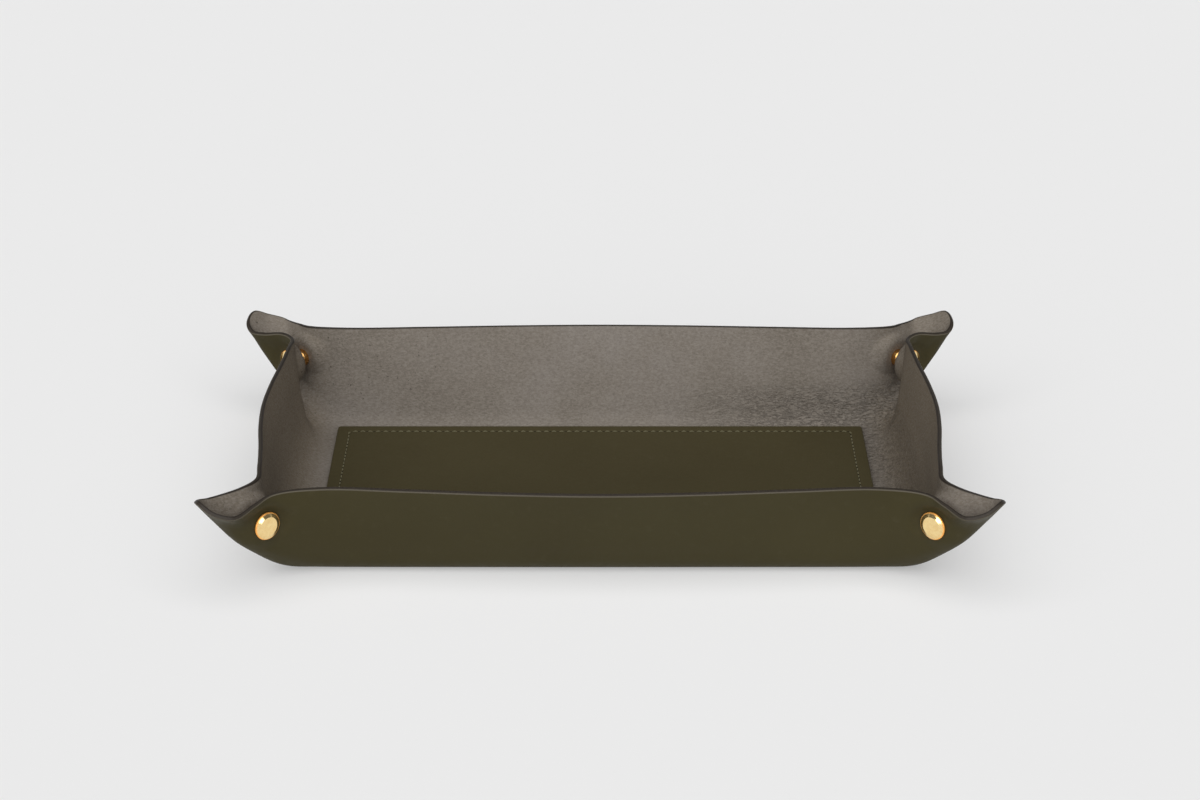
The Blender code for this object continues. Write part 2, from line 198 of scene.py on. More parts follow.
def makeFleshGroup():
    # The unsealed back of the hide: clouds, mottles, short fibres that lie one way, small specks, creases
    tree, given, made = startTree(
        "fleshFibres", "ShaderNodeTree",
        (("Vector", "Vector", None), ("Cloud Scale", "Float", 16.0), ("Mottle Scale", "Float", 240.0),
         ("Fibre Scale", "Float", 900.0), ("Crease Scale", "Float", 130.0)),
        [(name, "Float") for name in ("Clouds", "Mottles", "Fibres", "Specks", "Creases")],
    )
    vector = given["Vector"]
    lying = addMapping(tree, vector, (0.4, 1.0, 0.8), 0.3)
    spots = addNoise(tree, vector, times(tree, given["Fibre Scale"], 0.5), 1.0, 0.5)
    along = addMapping(tree, vector, (1.0, 3.4, 3.4))
    folds = addNoise(tree, along, given["Crease Scale"], 3.0, 0.55, 1.0)
    ridge = addMath(tree, "ABSOLUTE", addMath(tree, "SUBTRACT", folds, 0.5))
    for name, value in (
        ("Clouds", addNoise(tree, vector, given["Cloud Scale"], 4.0, 0.6)),
        ("Mottles", addNoise(tree, vector, given["Mottle Scale"], 4.0, 0.7, 0.8)),
        ("Fibres", addNoise(tree, lying, given["Fibre Scale"], 3.0, 0.7, 0.6)),
        ("Specks", addRange(tree, spots, 0.7, 0.76, smooth=False)),
        ("Creases", addRange(tree, ridge, 0.0, 0.05, 1.0, 0.0)),
    ):
        tree.links.new(value, made[name])
    return tree


grainGroup = makeGrainGroup()
fleshGroup = makeFleshGroup()


def startMaterial(name):
    material = bpy.data.materials.new(name)
    material.use_nodes = True
    tree = material.node_tree
    return material, tree, addNode(tree, "ShaderNodeTexCoord").outputs["Object"]


def startGrained(name, look):
    material, tree, place = startMaterial(name)
    return material, tree, addNode(tree, "ShaderNodeGroup", {
        "Vector": place, "Pore Scale": look["poreScale"], "Cloud Scale": look["cloudScale"],
    }, node_tree=grainGroup).outputs


def finishMaterial(tree, look, colour, height, dust=None):
    shader = tree.nodes["Principled BSDF"]
    tree.links.new(colour, shader.inputs["Base Color"])
    shader.inputs["Roughness"].default_value = look["roughness"]
    shader.inputs["Specular IOR Level"].default_value = look["specular"]
    bump = addStep(tree, "ShaderNodeBump", {
        "Height": height, "Distance": look["relief"], "Strength": 1.0,
    })
    tree.links.new(bump, shader.inputs["Normal"])
    if dust is not None:
        ends = [look["roughness"] + change for change in look["wear"]]
        tree.links.new(addRange(tree, dust, *look["wearRange"], *ends), shader.inputs["Roughness"])
    return shader


def addAttribute(tree, name):
    # fromRim is how far a place on the sheet is from the middle of its cut edge, inside the tray
    # counting up; spinRadius is how far a place on a turned piece is from its axis
    return addNode(tree, "ShaderNodeAttribute", attribute_name=name).outputs["Fac"]


def makeGrainLeather(name, look):
    material, tree, grain = startGrained(name, look)
    dusty = addRange(tree, grain["Dust"], *look["dustRange"], 0.0, look["dustMix"])
    colour = mixColours(tree, dusty, addTones(tree, grain["Tone"], look), look["dust"])
    finishMaterial(tree, look, colour, grain["Height"], grain["Dust"])
    return material


def makeFleshLeather(name, look):
    material, tree, place = startMaterial(name)
    flesh = addNode(tree, "ShaderNodeGroup", {
        "Vector": place, "Cloud Scale": look["cloudScale"], "Mottle Scale": look["mottleScale"],
        "Fibre Scale": look["fibreScale"], "Crease Scale": look["creaseScale"],
    }, node_tree=fleshGroup).outputs
    parts = addNode(tree, "ShaderNodeSeparateXYZ", {"Vector": place}).outputs
    colour = addTones(tree, flesh["Clouds"], look)
    # Painted shade: the short walls are darker and browner, standing in for the brown light bounced between
    # the leather walls in their shade; the beaks beside them less so
    ends = addRange(tree, addMath(tree, "ABSOLUTE", parts["X"]), *look["endShadeRange"], 0.0, look["endShadeMix"])
    beaks = addRange(tree, addMath(tree, "ABSOLUTE", parts["Y"]), *look["beakShadeRange"], 1.0, look["beakShadeShare"])
    colour = mixColours(tree, times(tree, ends, beaks), colour, look["endShadeTone"])
    patches = addRange(tree, flesh["Mottles"], *look["mottleRange"], look["mottleMix"], 0.0)
    colour = mixColours(tree, patches, colour, look["speck"])
    hairs = addRange(tree, flesh["Fibres"], *look["fibreRange"], 0.0, look["fibreMix"])
    colour = mixColours(tree, hairs, colour, look["fibre"])
    # Creases low down on the right: their lines are darkened with painted shade and sunk in the bump. Specks
    # mostly on the left
    low = addRange(tree, parts["Z"], *look["creaseHeights"], 1.0, 0.0)
    side = addRange(tree, parts["X"], *look["creaseRange"], 0.0, look["creaseRise"])
    wrinkled = times(tree, times(tree, low, side), flesh["Creases"])
    spotted = addRange(tree, parts["X"], *look["speckRange"], 1.0, look["speckShare"])
    specks = times(tree, flesh["Specks"], spotted)
    specksAndCreaseShade = addMath(
        tree, "MAXIMUM", times(tree, specks, look["speckMix"]), times(tree, wrinkled, look["creaseShadeMix"])
    )
    colour = mixColours(tree, specksAndCreaseShade, colour, look["speck"])
    edge = addRange(tree, addAttribute(tree, "fromRim"), *look["rimRange"], 0.0, look["rimMix"])
    colour = mixColours(tree, edge, colour, look["rimColour"])
    height = addMath(tree, "ADD", flesh["Fibres"], times(tree, flesh["Mottles"], look["mottleRelief"]))
    height = addMath(tree, "SUBTRACT", height, times(tree, wrinkled, look["creaseRelief"]))
    finishMaterial(tree, look, colour, height)
    return material


def makePaintedEdge(name, look):
    material, tree, grain = startGrained(name, look)
    colour = addTones(tree, grain["Dust"], look)
    across = addAttribute(tree, "fromRim")
    # Lighter towards the outer corner, partly wear and partly a painted highlight on the rounded corner;
    # darker towards the inner side
    for tone in ("wornAndHighlit", "deep"):
        colour = mixColours(tree, addRange(tree, across, *look[tone + "Range"]), colour, look[tone])
    finishMaterial(tree, look, colour, grain["Height"])
    return material


def makeBrass(name, look):
    material, tree, grain = startGrained(name, look)
    # Painted reflection: an orange, less metallic ring at the rim of the caps stands in for the warm
    # reflections on it
    paintedRimReflection = addRange(tree, addAttribute(tree, "spinRadius"), *look["rimRange"])
    colour = mixColours(tree, paintedRimReflection, addTones(tree, grain["Dust"], look), look["rimColour"])
    shader = finishMaterial(tree, look, colour, grain["Height"], grain["Dust"])
    metal = addRange(tree, paintedRimReflection, 0.0, 1.0, 1.0, look["reflectionRimMetal"])
    tree.links.new(metal, shader.inputs["Metallic"])
    return material


def makeThread(name, look):
    material, tree, place = startMaterial(name)
    strands = addNode(tree, "ShaderNodeTexWave", {
        "Vector": addMapping(tree, place, turn=look["twistAngle"]), "Scale": look["twistScale"],
        "Distortion": look["twistWaver"], "Detail": 2.0,
    }, wave_type="BANDS", bands_direction="X").outputs["Fac"]
    finishMaterial(tree, look, addTones(tree, strands, look), strands)
    return material


grainLook = {
    "dark": (0.036, 0.0293, 0.0105), "light": (0.0415, 0.0345, 0.0128), "dust": (0.075, 0.066, 0.04),
    "toneRange": (0.3, 0.7), "dustRange": (0.5, 0.8), "dustMix": 0.18, "roughness": 0.55,
    "wear": (-0.06, 0.06), "wearRange": (0.3, 0.7), "specular": 0.13, "poreScale": 1500.0,
    "cloudScale": 14.0, "relief": 0.02 * mm,
}
# Painted light: the pad is the walls' olive leather made a little lighter, to even out how the light falls on
# the pad and on the walls
padLitCopyLook = {**grainLook, "dark": (0.0455, 0.037, 0.0162), "light": (0.052, 0.043, 0.0195)}
fleshLook = {
    "dark": (0.14, 0.121, 0.1), "middle": (0.168, 0.147, 0.125), "light": (0.195, 0.174, 0.155),
    # The end tone, its mix and its ranges paint shade and brown bounced light onto the short walls
    "toneRange": (0.32, 0.52, 0.72), "endShadeTone": (0.152, 0.12, 0.082), "endShadeMix": 0.85,
    "endShadeRange": (126 * mm, 142 * mm), "beakShadeRange": (66 * mm, 86 * mm), "beakShadeShare": 0.3,
    "fibre": (0.26, 0.235, 0.205), "fibreMix": 0.4, "fibreRange": (0.38, 0.66),
    "fibreScale": 1500.0, "cloudScale": 16.0, "mottleRange": (0.36, 0.66),
    "mottleMix": 0.26, "mottleScale": 950.0, "mottleRelief": 0.8,
    "speck": (0.045, 0.036, 0.028), "speckMix": 0.6, "speckRange": (-120 * mm, -20 * mm),
    # The crease mix paints shade into the lines of the wrinkles
    "speckShare": 0.35, "creaseShadeMix": 0.2, "creaseScale": 250.0, "creaseRelief": 1.4,
    "creaseHeights": (12 * mm, 26 * mm), "creaseRange": (0.0, 110 * mm), "creaseRise": 1.7,
    "rimColour": (0.035, 0.028, 0.022), "rimRange": (1.85 * mm, 1.15 * mm), "rimMix": 0.85,
    "roughness": 0.9, "specular": 0.08, "relief": 0.07 * mm,
}
edgeLook = {
    "dark": (0.024, 0.019, 0.014), "light": (0.034, 0.027, 0.02), "toneRange": (0.35, 0.65),
    # The worn tone is partly wear and partly a painted highlight on the edge's outer corner
    "wornAndHighlit": (0.074, 0.063, 0.044), "wornAndHighlitRange": (-0.65 * mm, -1 * mm),
    "deep": (0.02, 0.015, 0.011), "deepRange": (0.1 * mm, 0.5 * mm),
    "roughness": 0.5, "specular": 0.2, "poreScale": 900.0, "cloudScale": 60.0, "relief": 0.03 * mm,
}
# Painted shade: the needle holes are very dark blobs that stand in for the shade inside the holes
holeShadeLook = {
    **edgeLook, "dark": (0.011, 0.009, 0.005), "light": (0.018, 0.015, 0.009), "specular": 0.05,
}
# The brass's rim colour and rim metal paint a warm reflection onto the caps' rims
brassLook = {
    "dark": (0.93, 0.66, 0.29), "light": (1.0, 0.76, 0.37), "rimColour": (0.95, 0.42, 0.09),
    "toneRange": (0.35, 0.6), "rimRange": (5.5 * mm, 6.1 * mm), "reflectionRimMetal": 0.4, "roughness": 0.1,
    "wear": (0.0, 0.08), "wearRange": (0.35, 0.7), "specular": 0.5, "poreScale": 900.0,
    "cloudScale": 30.0, "relief": 0.00008 * mm,
}
# Painted reflection: a more orange brass for the socket and stud, standing in for the brown leather they
# mirror in the pinch's shade
pinchShadeBrassLook = {**brassLook, "dark": (0.9, 0.45, 0.13), "light": (0.97, 0.56, 0.2), "roughness": 0.2}
steelLook = {**brassLook, "dark": (0.5, 0.48, 0.45), "light": (0.62, 0.6, 0.57), "roughness": 0.25}
threadLook = {
    "dark": (0.09, 0.081, 0.047), "light": (0.165, 0.152, 0.094), "toneRange": (0.1, 0.8),
    "twistAngle": 0.7, "twistScale": 700.0, "twistWaver": 1.5, "roughness": 0.8, "specular": 0.15,
    "relief": 0.06 * mm,
}

grainLeather = makeGrainLeather("oliveGrainLeather", grainLook)
padLitCopyLeather = makeGrainLeather("olivePadLitCopy", padLitCopyLook)
fleshLeather = makeFleshLeather("greyBrownFleshSide", fleshLook)
paintedEdge = makePaintedEdge("paintedLeatherEdge", edgeLook)
brass = makeBrass("polishedBrass", brassLook)
pinchShadeBrass = makeBrass("pinchShadeBrass", pinchShadeBrassLook)
steel = makeBrass("springSteel", steelLook)
thread = makeThread("khakiThread", threadLook)
needleHoleShade = makePaintedEdge("needleHoleShade", holeShadeLook)
print("materials made")


# The leather sheet, from the same sizes as the solid model but with a fine surface

sheet = {
    "baseLength": 260 * mm, "baseWidth": 140 * mm, "wallHeight": 46 * mm,
    "longWallFlare": 24.2 * mm, "shortWallFlare": 24 * mm, "wallEndDrawIn": 5.6 * mm,
    "wallEndLift": 0.8 * mm, "longWallBelly": 1.5 * mm, "shortWallBelly": 4.5 * mm,
    "bendRadius": 6 * mm, "thickness": 2 * mm, "edgeRadius": 0.55 * mm, "edgeRise": 0.1,
    "floorInsets": (10 * mm, 8 * mm, 6.2 * mm, 4.6 * mm, 3 * mm, 1.5 * mm),
    "beakReach": 41.8 * mm, "beakSpread": 42 * mm, "flatSize": (366 * mm, 247 * mm),
}
studs = {
    "capRadius": 6.25 * mm, "faceRadius": 4.25 * mm, "capHeight": 1.6 * mm, "rimHeight": 0.7 * mm,
    "slopeShare": 0.47, "postRadius": 1.5 * mm, "layerGap": 6 * mm, "socketRadius": 4.2 * mm,
    "mouthRadius": 3.7 * mm, "boreRadius": 2.35 * mm, "boreDepth": 2.8 * mm, "springWire": 0.66 * mm,
    "springGap": radians(34), "headRadius": 2 * mm, "neckRadius": 1.75 * mm,
    "baseRadius": 3.9 * mm, "baseHeight": 0.9 * mm, "height": 3.7 * mm, "tipRadius": 1.2 * mm,
    "recess": 0.5 * mm, "fadeWidth": 5 * mm, "seatMargin": 0.2 * mm, "clearance": 0.3 * mm,
    "roundingShare": 0.4, "roundingMargin": 1.2, "capRounding": 0.22 * mm,
    "socketRounding": 0.18 * mm, "studRounding": 0.25 * mm,
    "capSteps": 96, "innerSteps": 72, "springSteps": 56, "springSides": 12,
    "placeShares": (0.38, 0.417, 0.672), "pinchAngle": radians(42),
}

# The press studs' heights along their axis, from the middle of the pinch, and their radii
halfGap, clearance, wireRadius = studs["layerGap"] / 2, studs["clearance"], studs["springWire"] / 2
studFoot = -halfGap + clearance / 3
studTip = -halfGap + clearance + studs["height"]
boreEnd = -halfGap + clearance * 2 + studs["height"]
springHeight = studTip - studs["headRadius"] / 2
springRadius = studs["headRadius"] + clearance + wireRadius
postHole = studs["postRadius"] + clearance

# The beak's outer surface, from the floor up, as shares of its reach, its spread and the wall's height
beakLoops = (
    ((-0.45, 0, 0), (-0.3, 0, 0), (-0.2, -0.006, 0), (-0.13, -0.028, 0), (-0.085, -0.058, 0),
     (-0.055, -0.092, 0), (-0.032, -0.132, 0), (-0.012, -0.19, 0), (0, -0.28, 0), (0, -0.4, 0)),
    ((-0.28, 0.145, 0.078), (-0.09, 0.15, 0.078), (0.04, 0.15, 0.072), (0.12, 0.154, 0.066),
     (0.17, 0.14, 0.063), (0.195, 0.115, 0.062), (0.225, 0.08, 0.064), (0.23, 0.055, 0.067),
     (0.242, -0.025, 0.072), (0.218, -0.19, 0.078)),
    ((-0.142, 0.251, 0.265), (0.09, 0.31, 0.26), (0.245, 0.355, 0.27), (0.345, 0.375, 0.28),
     (0.415, 0.355, 0.29), (0.445, 0.31, 0.3), (0.427, 0.262, 0.298), (0.44, 0.22, 0.29),
     (0.445, 0.145, 0.278), (0.37, -0.028, 0.265)),
    ((0.036, 0.38, 0.525), (0.273, 0.455, 0.51), (0.415, 0.565, 0.5), (0.54, 0.585, 0.51),
     (0.63, 0.54, 0.525), (0.665, 0.472, 0.535), (0.63, 0.415, 0.535), (0.56, 0.385, 0.53),
     (0.465, 0.295, 0.53), (0.43, 0.09, 0.525)),
    ((0.142, 0.475, 0.763), (0.335, 0.52, 0.75), (0.509, 0.67, 0.739), (0.67, 0.71, 0.75),
     (0.8, 0.652, 0.765), (0.848, 0.56, 0.765), (0.79, 0.49, 0.755), (0.655, 0.452, 0.748),
     (0.495, 0.35, 0.763), (0.435, 0.158, 0.765)),
    ((0.213, 0.54, 1), (0.367, 0.71, 0.96), (0.569, 0.94, 0.92), (0.794, 0.945, 0.97),
     (0.945, 0.85, 1.04), (1, 0.67, 0.99), (0.94, 0.505, 0.943), (0.785, 0.412, 0.948),
     (0.569, 0.324, 0.989), (0.44, 0.155, 1.005)),
)
tipPoint = len(beakLoops[0]) // 2

# The walls: height and belly of each level above the bend, and places from the middle to the beak
wallLevels = (0, 0.198, 0.481, 0.74, 1)
bellyShares = (0.6, 1, 0.72, 0.3, 0)
wallPoints = (0, 0.3, 0.6, 0.86)
surfaceSteps = {
    "level": (8, 8, 10, 12, 10), "longWall": (12, 12, 10, 8), "beak": (10, 10, 8, 7, 8, 8, 7, 8, 10),
    "shortWall": (8, 8, 8, 8), "edge": 5,
}

# How the bend is eased: rounds, how far up it reaches, its share at the long wall, and in columns
# where it sets in before the beak and where the bowl under the beak lies
easing = {
    "rounds": 24, "upward": 2, "sideways": 1.6, "longWallShare": 0.25, "lead": 10, "bowlColumn": 30,
    "bowlReach": 50,
}


def splineRow(points, steps, startMirror, endMirror):
    points = [np.array(p, float) for p in points]
    whole = [points[1] * startMirror, *points, points[-2] * endMirror]
    row = []
    for i, count in enumerate(steps):
        p0, p1, p2, p3 = whole[i : i + 4]
        d01, d12, d23 = (norm(b - a) ** 0.5 for a, b in ((p0, p1), (p1, p2), (p2, p3)))
        m1 = p2 - p1 + d12 * ((p1 - p0) / d01 - (p2 - p0) / (d01 + d12))
        m2 = p2 - p1 + d12 * ((p3 - p2) / d23 - (p3 - p1) / (d12 + d23))
        row += [hermite(p1, m1, p2, m2, k / count) for k in range(count)]
    row.append(points[-1])
    return row


def hermite(p1, m1, p2, m2, t):
    return (
        (2 * t**3 - 3 * t**2 + 1) * p1 + (t**3 - 2 * t**2 + t) * m1
        + (3 * t**2 - 2 * t**3) * p2 + (t**3 - t**2) * m2
    )


def wallSection(flare, belly):
    height, bend = sheet["wallHeight"], sheet["bendRadius"]
    lean = atan2(flare, height)
    for _ in range(30):  # the bend takes up part of the flare, so the lean is found step by step
        lean = atan2(flare - bend * cos(lean), height - bend * (1 - sin(lean)))
    out, up = bend * cos(lean), bend * (1 - sin(lean))
    return [(0, 0)] + [
        (out + share * (flare - out) + belly * fullness, up + share * (height - up))
        for share, fullness in zip(wallLevels, bellyShares)
    ]


def bowed(point, share):
    out, up = point
    drawn = sin(share * pi / 2) ** 2 * up / sheet["wallHeight"]
    return out - sheet["wallEndDrawIn"] * drawn, up + sheet["wallEndLift"] * drawn


def beakPoint(shares):
    return np.array((
        sheet["baseLength"] / 2 + shares[0] * sheet["beakReach"],
        sheet["baseWidth"] / 2 + shares[1] * sheet["beakSpread"],
        shares[2] * sheet["wallHeight"],
    ))


def quarterSurface():
    longSection = wallSection(sheet["longWallFlare"], sheet["longWallBelly"])
    shortSection = wallSection(sheet["shortWallFlare"], sheet["shortWallBelly"])
    steps = (*surfaceSteps["longWall"], *surfaceSteps["beak"], *surfaceSteps["shortWall"])
    loops = []
    for level, shares in enumerate(beakLoops):
        beak = [beakPoint(s) for s in shares]
        points = []
        for share in wallPoints:
            out, up = bowed(longSection[level], share)
            points.append((share * beak[0][0], sheet["baseWidth"] / 2 + out, up))
        points += beak
        for share in reversed(wallPoints):
            out, up = bowed(shortSection[level], share)
            points.append((sheet["baseLength"] / 2 + out, share * beak[-1][1], up))
        loops.append(splineRow(points, steps, (-1, 1, 1), (1, -1, 1)))
    columns = []
    for i in range(len(loops[0])):
        points = [loop[i] for loop in loops]
        columns.append(upwardRow(points, points[0] - (points[1] - points[0]) * (1, 1, 0)))
    return np.array(columns).swapaxes(0, 1)


def upwardRow(points, below):
    whole = [below, *points]
    row = []
    for i, count in enumerate(surfaceSteps["level"]):
        p0, p1, p2 = whole[i : i + 3]
        p3 = whole[i + 3] if i + 3 < len(whole) else 2 * p2 - p1
        reach = norm(p2 - p1)
        m1, m2 = tangent(p0, p1, p2) * reach, tangent(p1, p2, p3) * reach
        row += [hermite(p1, m1, p2, m2, k / count) for k in range(count)]
    row.append(points[-1])
    return row


def tangent(before, here, after):
    first, second = norm(here - before), norm(after - here)
    way = (here - before) / first * second + (after - here) / second * first
    return way / (first + second)


snapMiddle = beakPoint(studs["placeShares"])
snapDirection = np.array((-sin(studs["pinchAngle"]), cos(studs["pinchAngle"]), 0))
tipColumn = sum(surfaceSteps["longWall"]) + sum(surfaceSteps["beak"][:tipPoint])


def flattenAtSnap(surface, distance):
    # Both layers of the pinch lie flat under the caps, square to the snap
    seat = studs["capRadius"] + studs["seatMargin"]
    side = np.where(np.arange(surface.shape[1]) < tipColumn, 1, -1)
    along = (surface - snapMiddle) @ snapDirection
    away = norm(surface - snapMiddle - along[..., None] * snapDirection, axis=2)
    share = smoothShare(np.clip((seat + studs["fadeWidth"] - away) / studs["fadeWidth"], 0, 1))
    surface += (share * (side * distance - along))[..., None] * snapDirection


def surfaceNormals(surface):
    # Into the tray, over one quarter, with the mirrored neighbours past its two ends
    wide = np.concatenate([
        surface[:, 1:2] * (-1, 1, 1), surface, surface[:, -2:-1] * (1, -1, 1),
    ], axis=1)
    upward = np.gradient(surface, axis=0)
    upward[0] = (surface[1] - surface[0]) * (1, 1, 0)
    normal = np.cross(upward, wide[:, 2:] - wide[:, :-2])
    normal /= norm(normal, axis=2, keepdims=True)
    if normal[-1, 0, 1] > 0:
        normal = -normal
    normal[0] = (0, 0, 1)
    return normal


def roundRim(outer, inner):
    # The cut edge: the last rows end a little lower, and an arc at each side joins them to the top,
    # which is a little higher in the middle
    radius, count = sheet["edgeRadius"], surfaceSteps["edge"]
    up = outer[-1] - outer[-2]
    up /= norm(up, axis=1, keepdims=True)
    across = inner[-1] - outer[-1]
    across /= norm(across, axis=1, keepdims=True)
    top, far = outer[-1].copy(), inner[-1].copy()
    rows = []
    for angle in np.linspace(0, pi / 2, count):
        rows.append(top + across * radius * (1 - cos(angle)) - up * radius * (1 - sin(angle)))
    for share in (0.25, 0.5, 0.75):
        rise = up * radius * sheet["edgeRise"] * sin(share * pi)
        rows.append(top + share * (far - top) + rise)
    for angle in np.linspace(pi / 2, 0, count):
        rows.append(far - across * radius * (1 - cos(angle)) - up * radius * (1 - sin(angle)))
    outer[-1], inner[-1] = rows[0], rows[-1]
    return np.array(rows)


def wholeRing(quarter):
    # The other three quarters are mirrored, two of them read backwards
    mirrors = ((1, (1, 1, 1)), (-1, (1, -1, 1)), (1, (-1, -1, 1)), (-1, (-1, 1, 1)))
    return np.concatenate([(quarter[:, ::way] * mirror)[:, :-1] for way, mirror in mirrors], axis=1)


def withFloorRows(surface):
    # A few rows on the flat floor before the bend. Then the bend is eased, most at the short wall,
    # and the bottom of the beak is rounded into a bowl
    rows = []
    for inset in sheet["floorInsets"]:
        rows.append(surface[0] * (1 - 2 * inset / sheet["baseLength"], 1 - 2 * inset / sheet["baseWidth"], 1))
    surface = np.concatenate([rows, surface])
    rowIndex, column = np.arange(len(surface)), np.arange(surface.shape[1])
    eased = len(rows) + sum(surfaceSteps["level"][:3])
    beakStart = sum(surfaceSteps["longWall"])
    turned = np.clip((column - beakStart + easing["lead"]) / (tipColumn - beakStart), 0, 1)
    near = np.clip(1 - np.abs(column - beakStart - easing["bowlColumn"]) / easing["bowlReach"], 0, 1)
    upward, sideways = (
        np.clip(easing[way] - easing[way] * rowIndex / eased, 0, 1)[:, None, None]
        for way in ("upward", "sideways")
    )
    least = easing["longWallShare"]
    upward = upward * (least + (1 - least) * turned)[:, None]
    sideways = sideways * smoothShare(near)[:, None]
    for _ in range(easing["rounds"]):
        middle = (surface[:-2] + 2 * surface[1:-1] + surface[2:]) / 4
        surface[1:-1] += upward[1:-1] * (middle - surface[1:-1])
        middle = (surface[:, :-2] + 2 * surface[:, 1:-1] + surface[:, 2:]) / 4
        surface[:, 1:-1] += sideways[:, 1:-1] * (middle - surface[:, 1:-1])
    return surface


def makeWholeLeather():
    outer = withFloorRows(quarterSurface())
    flattenAtSnap(outer, halfGap + sheet["thickness"])
    inner = outer + sheet["thickness"] * surfaceNormals(outer)
    flattenAtSnap(inner, halfGap)
    rim = roundRim(outer, inner)
    outer, inner, rim = [wholeRing(grid) for grid in (outer, inner, rim)]
    grid = np.concatenate([outer, rim[1:-1], inner[::-1]])
    rows, count = grid.shape[:2]
    index = np.arange(rows * count).reshape(rows, count)
    after = np.roll(index, -1, axis=1)
    quads = np.stack([index[:-1], after[:-1], after[1:], index[1:]], axis=-1)
    slots = np.zeros(rows - 1, int)
    slots[len(outer) - 1 : len(outer) + len(rim) - 2] = 2
    slots[len(outer) + len(rim) - 2 :] = 1
    faces = quads.reshape(-1, 4).tolist() + [index[0].tolist(), index[-1][::-1].tolist()]
    whole = addMesh(
        "wholeLeather", grid.reshape(-1, 3), faces, (grainLeather, fleshLeather, paintedEdge)
    )
    whole.data.polygons.foreach_set("material_index", [*np.repeat(slots, count), 0, 1])
    turnOutwards(whole.data)
    passed = np.cumsum(norm(np.diff(grid, axis=0), axis=2), axis=0)
    passed = np.concatenate([np.zeros((1, count)), passed])
    return whole, (passed - passed[len(outer) + len(rim) // 2 - 1]).reshape(-1)


def turnOutwards(mesh):
    work = bmesh.new()
    work.from_mesh(mesh)
    bmesh.ops.recalc_face_normals(work, faces=work.faces[:])
    work.to_mesh(mesh)
    work.free()


def snapFrame(corner, flipped=False):
    mirror = np.array((*corners[corner], 1))
    turn = Vector(snapDirection * mirror).to_track_quat("Z", "Y").to_matrix().to_4x4()
    place = Matrix.Translation(Vector(snapMiddle * mirror)) @ turn
    return place @ Matrix.Rotation(pi, 4, "X") if flipped else place


wholeLeather, fromRim = makeWholeLeather()
print("leather surface,", len(wholeLeather.data.polygons), "faces")


# The pad's sizes, and the row of stitches that holds it

pad = {
    "length": sheet["baseLength"] - 8 * mm, "width": sheet["baseWidth"] - 4 * mm, "thickness": 2 * mm,
    "cornerRadius": 1.6 * mm, "edgeRadius": 0.4 * mm, "lift": 0.1 * mm,
    "underEdge": 0.3, "edgeMargin": 1.5, "stitchInset": 5.9 * mm, "stitchCorner": 1.5 * mm,
    "grooveWidth": 1.3 * mm, "grooveDepth": 0.28 * mm, "grooveMargin": 1.1, "edgeSteps": 6, "grooveSteps": 11,
    "underGroove": ((1, 0.4), (0.5, 1)),
}
stitches = {
    "pitch": 3.68 * mm, "length": 2.2 * mm, "width": 0.64 * mm, "height": 0.44 * mm,
    "sink": 0.1 * mm, "turn": radians(3), "seed": 7, "taper": 0.55, "samples": 9, "sides": 8,
    "holeSize": (0.62 * mm, 0.5 * mm, 0.15 * mm),
}


def roundedRectangle(length, width, radius, height, steps=10):
    points = []
    for quarter, (sx, sy) in enumerate(((1, 1), (-1, 1), (-1, -1), (1, -1))):
        for step in range(steps + 1):
            angle = (quarter + step / steps) * pi / 2
            points.append((
                sx * (length / 2 - radius) + radius * cos(angle),
                sy * (width / 2 - radius) + radius * sin(angle),
                height,
            ))
    return points


def stitchLine(side, height):
    # A loop beside the line of stitching, at its height
    length, width = pad["length"] - 2 * pad["stitchInset"], pad["width"] - 2 * pad["stitchInset"]
    return roundedRectangle(
        length + 2 * side, width + 2 * side, pad["stitchCorner"] + side, height
    )


def joinLoops(name, loops, materials, capped):
    count = len(loops[0])
    vertices = [p for loop in loops for p in loop]
    faces = []
    last = len(loops) if not capped else len(loops) - 1
    for row in range(last):
        low, high = row * count, (row + 1) % len(loops) * count
        faces += [
            (low + k, low + (k + 1) % count, high + (k + 1) % count, high + k) for k in range(count)
        ]
    if capped:
        faces += [list(range(count))[::-1], list(range(last * count, (last + 1) * count))]
    thing = addMesh(name, vertices, faces, materials)
    turnOutwards(thing.data)
    return thing


# Cutting the leather: the holes and the groove first, then the flaps around the pinches, as pieces of their
# own

flap = {
    "wallStart": 78 * mm, "wallEnd": 136 * mm, "footStart": 0.5 * mm, "footEnd": 23 * mm,
    "pinchHalf": 2.9 * mm, "room": 400 * mm, "overcut": 1 * mm, "weld": 1e-7, "holeSides": 32,
}


def cutWithObject(thing, cutter):
    modifier = thing.modifiers.new("cut", "BOOLEAN")
    modifier.operation, modifier.solver, modifier.object = "DIFFERENCE", "EXACT", cutter
    mesh = evaluatedMesh(thing, thing.name)
    thing.modifiers.remove(modifier)
    thing.data = mesh
    dropObject(cutter)


def makeHoleCutter():
    # The posts' holes, and the groove for the row of stitches under the floor
    half = halfGap + sheet["thickness"] + flap["overcut"]
    work = bmesh.new()
    for corner in corners:
        bmesh.ops.create_cone(
            work, segments=flap["holeSides"], radius1=postHole, radius2=postHole, depth=2 * half,
            cap_ends=True, matrix=snapFrame(corner),
        )
    depth, half = pad["grooveDepth"], pad["grooveWidth"] / 2
    side = [(half, -flap["overcut"])] + [(half * x, depth * z) for x, z in pad["underGroove"]]
    section = side + [(-x, z) for x, z in reversed(side)]
    groove = joinLoops("groove", [stitchLine(*point) for point in section], (), False)
    work.from_mesh(groove.data)
    dropObject(groove)
    return addFromWork("holes", work)


